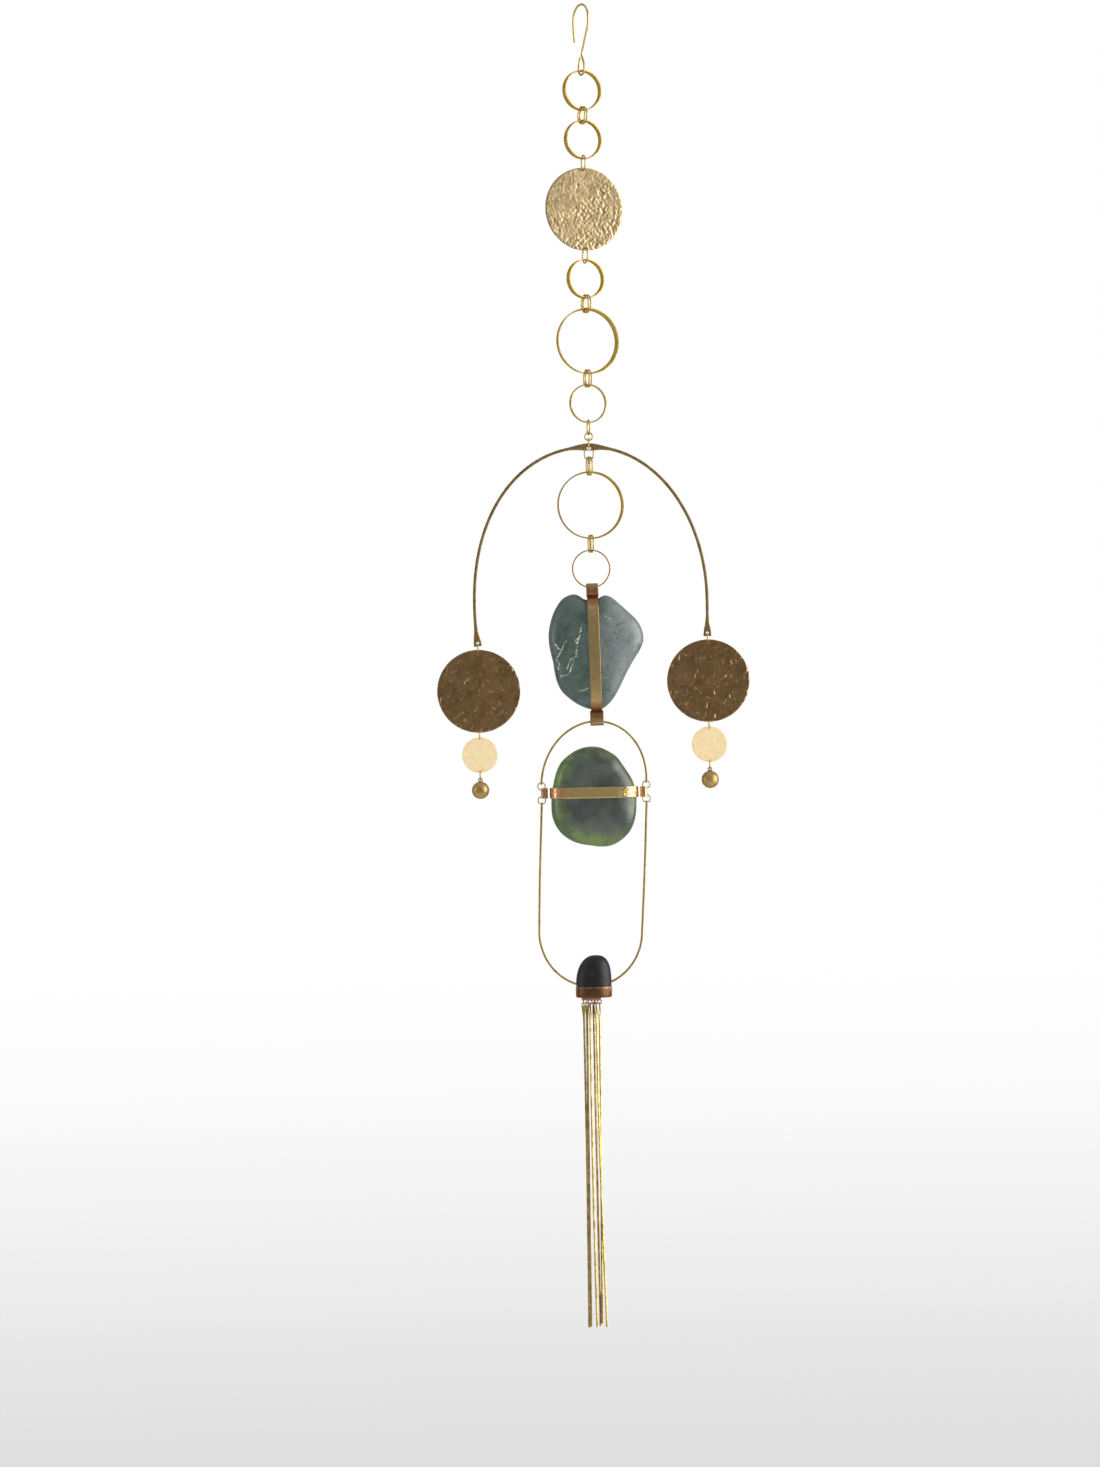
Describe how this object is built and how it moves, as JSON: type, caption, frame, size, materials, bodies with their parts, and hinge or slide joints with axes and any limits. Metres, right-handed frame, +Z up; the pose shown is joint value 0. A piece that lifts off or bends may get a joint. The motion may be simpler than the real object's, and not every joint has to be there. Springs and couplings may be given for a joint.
{
  "type": "hanging mobile",
  "caption": "Hanging mobile of brass rings, planished discs and a forged arch with ball pendants, over two banded stones in an oval hoop and a tassel of hammered wires",
  "frame": {"origin": "The inside of the hook's crown, on the middle line of the rail it hangs on", "axes": "+Z up along the plumb line, +X to the viewer's right, the front faces -Y"},
  "size_m": [0.2371, 0.0298, 1.0045],
  "materials": {
    "bright_brass": "bright brushed yellow brass, a little tarnished",
    "dull_brass": "forged brass with brown patina",
    "bronze_disc": "dark planished bronze with gold flecks",
    "pale_disc": "pale champagne gold, lightly hammered",
    "tan_disc": "planished antique brass",
    "copper_band": "hammered copper and brass sheet, heat coloured",
    "cap": "brown copper patina with worn edges",
    "jade": "polished grey-green stone with cream veins",
    "green_stone": "polished dark green stone with a yellow-green rim",
    "black_stone": "smooth black stone"
  },
  "bodies": {
    "root": {"hanging_hook": "bright_brass", "chain_ring_1": "bright_brass", "chain_ring_2": "bright_brass", "chain_ring_3": "bright_brass", "chain_ring_4": "bright_brass", "chain_ring_5": "bright_brass", "chain_ring_6": "bright_brass", "chain_ring_7": "bright_brass", "jump_ring_1a": "bright_brass", "jump_ring_1b": "bright_brass", "jump_ring_2": "bright_brass", "jump_ring_3": "bright_brass", "jump_ring_4a": "bright_brass", "jump_ring_4b": "bright_brass", "jump_ring_5a": "bright_brass", "jump_ring_5b": "bright_brass", "jump_ring_6": "bright_brass", "jump_ring_7": "bright_brass", "jump_ring_8": "bright_brass", "jump_ring_9": "bright_brass", "jump_ring_10a": "bright_brass", "jump_ring_10b": "bright_brass", "jump_ring_11a": "bright_brass", "jump_ring_11b": "bright_brass", "left_pendant_ring_1": "bright_brass", "left_pendant_ring_2": "bright_brass", "left_pendant_ring_3": "bright_brass", "right_pendant_ring_1": "bright_brass", "right_pendant_ring_2": "bright_brass", "right_pendant_ring_3": "bright_brass", "left_ball": "bright_brass", "right_ball": "bright_brass", "hoop": "bright_brass", "lower_frame": "bright_brass", "side_link_upper_left": "bright_brass", "side_link_upper_right": "bright_brass", "side_link_lower_left": "bright_brass", "side_link_lower_right": "bright_brass", "tassel_wire_1": "bright_brass", "tassel_wire_2": "bright_brass", "tassel_wire_3": "bright_brass", "tassel_wire_4": "bright_brass", "tassel_wire_5": "bright_brass", "tassel_wire_6": "bright_brass", "arch": "dull_brass", "left_large_disc": "bronze_disc", "left_small_disc": "pale_disc", "right_large_disc": "bronze_disc", "right_small_disc": "pale_disc", "chain_disc": "tan_disc", "upper_stone_strap": "copper_band", "middle_stone_band": "copper_band", "base_cap": "cap", "upper_stone": "jade", "middle_stone": "green_stone", "base_stone": "black_stone"}
  },
  "joints": []
}
